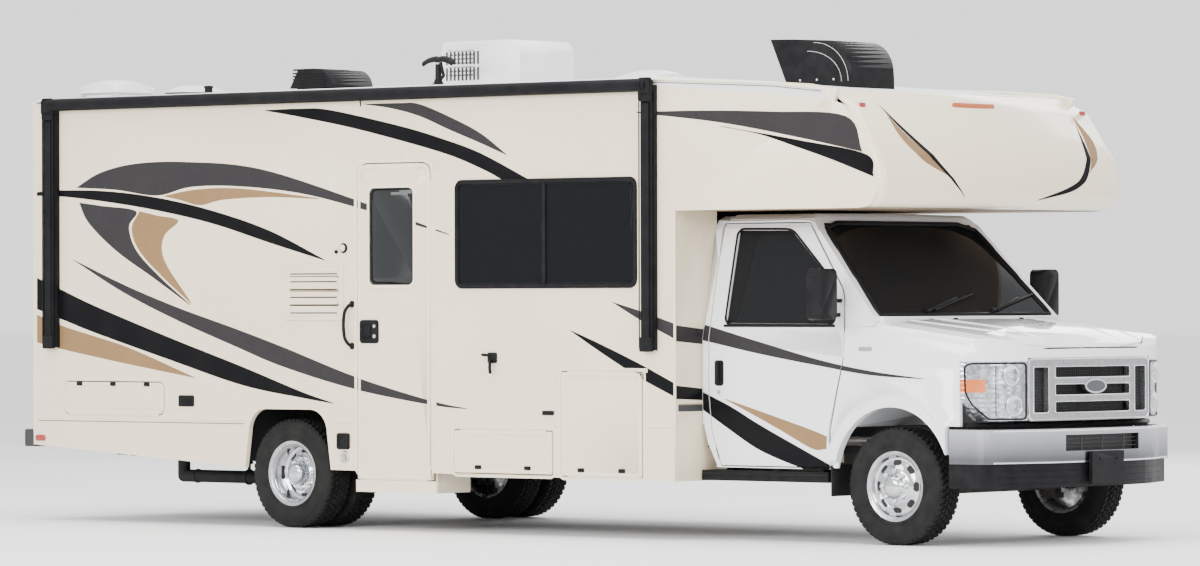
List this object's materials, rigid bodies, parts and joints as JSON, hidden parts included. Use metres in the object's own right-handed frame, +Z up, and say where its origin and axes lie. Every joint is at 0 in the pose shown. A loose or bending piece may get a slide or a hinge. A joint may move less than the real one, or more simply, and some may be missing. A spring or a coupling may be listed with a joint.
{
  "type": "class c motorhome",
  "caption": "Class C motorhome on a van chassis: living box with a bed over the cab, dual rear wheels, opening doors, hatches and hood, steered front wheels.",
  "frame": {"origin": "on the ground under the centre of the whole vehicle", "axes": "+X forward, +Y towards the driver's side, +Z up"},
  "size_m": [8.597, 2.6362, 3.33],
  "materials": {
    "house_white": "smooth cream fibreglass skin",
    "cab_white": "white automotive paint",
    "roof_white": "white roof membrane and mouldings",
    "frame_black": "black chassis paint",
    "axle_iron": "dark cast iron",
    "engine_grey": "plain grey block",
    "exhaust_steel": "aluminised steel",
    "tyre_rubber": "black tyre rubber",
    "wheel_steel": "bright steel rim",
    "chrome": "bright chrome",
    "black_plastic": "black textured plastic",
    "window_glass": "dark tinted glass",
    "door_glass": "tinted glass",
    "lamp_red": "red lens",
    "lamp_clear": "clear lamp lens over a reflector",
    "awning_black": "black roll cover and arms",
    "floor_grey": "sealed floor underside",
    "dash_grey": "grained grey plastic",
    "seat_fabric": "woven tan cloth"
  },
  "bodies": {
    "motorhome": {"chassis_frame": "frame_black", "front_axle": "axle_iron", "rear_axle": "axle_iron", "engine_block": "engine_grey", "exhaust": "exhaust_steel", "under_tanks": "black_plastic", "house_floor": "floor_grey", "house_wall_right": "house_white", "house_wall_left": "house_white", "house_wall_rear": "house_white", "house_wall_front": "house_white", "house_roof": "roof_white", "nose_cap": "house_white", "wheel_wells": "black_plastic", "step_well": "house_white", "house_window_frames": "black_plastic", "house_window_glass": "window_glass", "fridge_vent": "house_white", "awning": "awning_black", "rear_bumper": "frame_black", "hitch_receiver": "frame_black", "tail_lamps": "lamp_red", "roof_ac": "roof_white", "roof_vents": "roof_white", "bed_vent_cover": "black_plastic", "cab_body": "cab_white", "front_fenders": "cab_white", "windshield": "window_glass", "grille": "chrome", "headlamps": "lamp_clear", "front_bumper": "chrome", "front_valance": "black_plastic", "running_boards": "frame_black", "dashboard": "dash_grey", "seat_pads": "seat_fabric"},
    "knuckle_right_body": {"knuckle_right": "axle_iron"},
    "knuckle_left_body": {"knuckle_left": "axle_iron"},
    "front_wheel_right": {"tyre_front_right": "tyre_rubber", "rim_front_right": "wheel_steel"},
    "front_wheel_left": {"tyre_front_left": "tyre_rubber", "rim_front_left": "wheel_steel"},
    "rear_wheels_right": {"tyres_rear_right": "tyre_rubber", "rims_rear_right": "wheel_steel"},
    "rear_wheels_left": {"tyres_rear_left": "tyre_rubber", "rims_rear_left": "wheel_steel"},
    "entry_door_body": {"entry_door": "house_white", "entry_door_glass": "door_glass"},
    "cab_door_right_body": {"cab_door_right": "cab_white", "cab_glass_right": "window_glass", "mirror_right": "black_plastic"},
    "cab_door_left_body": {"cab_door_left": "cab_white", "cab_glass_left": "window_glass", "mirror_left": "black_plastic"},
    "bag_door_rear_body": {"bag_door_right_rear": "house_white"},
    "bag_door_mid_body": {"bag_door_right_mid": "house_white"},
    "bag_door_front_body": {"bag_door_right_front": "house_white"},
    "bag_door_left_body": {"bag_door_left": "house_white"},
    "hood_body": {"hood": "cab_white"},
    "steering_wheel_body": {"steering_wheel": "black_plastic"}
  },
  "joints": [
    {"name": "steer_right", "type": "hinge", "parent": "motorhome", "child": "knuckle_right_body", "pos_m": [3.355, -0.735, 0.372], "axis": [0, 0, 1], "range_deg": [-33, 33]},
    {"name": "steer_left", "type": "hinge", "parent": "motorhome", "child": "knuckle_left_body", "pos_m": [3.355, 0.735, 0.372], "axis": [0, 0, 1], "range_deg": [-33, 33]},
    {"name": "front_wheel_right_spin", "type": "hinge", "parent": "knuckle_right_body", "child": "front_wheel_right", "pos_m": [3.355, -0.8815, 0.372], "axis": [0, 1, 0], "continuous": true},
    {"name": "front_wheel_left_spin", "type": "hinge", "parent": "knuckle_left_body", "child": "front_wheel_left", "pos_m": [3.355, 0.8815, 0.372], "axis": [0, 1, 0], "continuous": true},
    {"name": "rear_wheels_right_spin", "type": "hinge", "parent": "motorhome", "child": "rear_wheels_right", "pos_m": [-1.665, -0.988, 0.372], "axis": [0, 1, 0], "continuous": true},
    {"name": "rear_wheels_left_spin", "type": "hinge", "parent": "motorhome", "child": "rear_wheels_left", "pos_m": [-1.665, 0.988, 0.372], "axis": [0, 1, 0], "continuous": true},
    {"name": "entry_door_hinge", "type": "hinge", "parent": "motorhome", "child": "entry_door_body", "pos_m": [-0.327, -1.2743, 1.4], "axis": [0, 0, 1], "range_deg": [0, 110]},
    {"name": "cab_door_right_hinge", "type": "hinge", "parent": "motorhome", "child": "cab_door_right_body", "pos_m": [2.9626, -1.004, 1.25], "axis": [0, 0, 1], "range_deg": [0, 65]},
    {"name": "cab_door_left_hinge", "type": "hinge", "parent": "motorhome", "child": "cab_door_left_body", "pos_m": [2.9626, 1.004, 1.25], "axis": [0, 0, -1], "range_deg": [0, 65]},
    {"name": "bag_door_rear_hinge", "type": "hinge", "parent": "motorhome", "child": "bag_door_rear_body", "pos_m": [-3.353, -1.2743, 0.751], "axis": [1, 0, 0], "range_deg": [0, 90]},
    {"name": "bag_door_mid_hinge", "type": "hinge", "parent": "motorhome", "child": "bag_door_mid_body", "pos_m": [0.3095, -1.2743, 0.698], "axis": [-1, 0, 0], "range_deg": [0, 95]},
    {"name": "bag_door_front_hinge", "type": "hinge", "parent": "motorhome", "child": "bag_door_front_body", "pos_m": [1.17, -1.2743, 1.089], "axis": [-1, 0, 0], "range_deg": [0, 95]},
    {"name": "bag_door_left_hinge", "type": "hinge", "parent": "motorhome", "child": "bag_door_left_body", "pos_m": [0.025, 1.2743, 0.783], "axis": [1, 0, 0], "range_deg": [0, 95]},
    {"name": "hood_hinge", "type": "hinge", "parent": "motorhome", "child": "hood_body", "pos_m": [3.2395, 0, 1.426], "axis": [0, -1, 0], "range_deg": [0, 55]},
    {"name": "steering_wheel_turn", "type": "hinge", "parent": "motorhome", "child": "steering_wheel_body", "pos_m": [2.64, 0.4, 1.34], "axis": [0.866, 0, -0.5], "range_deg": [-530, 530]}
  ],
  "couplings": [
    {"joint": "steer_left", "follows": "steer_right", "ratio": 1},
    {"joint": "steering_wheel_turn", "follows": "steer_right", "ratio": -16}
  ]
}
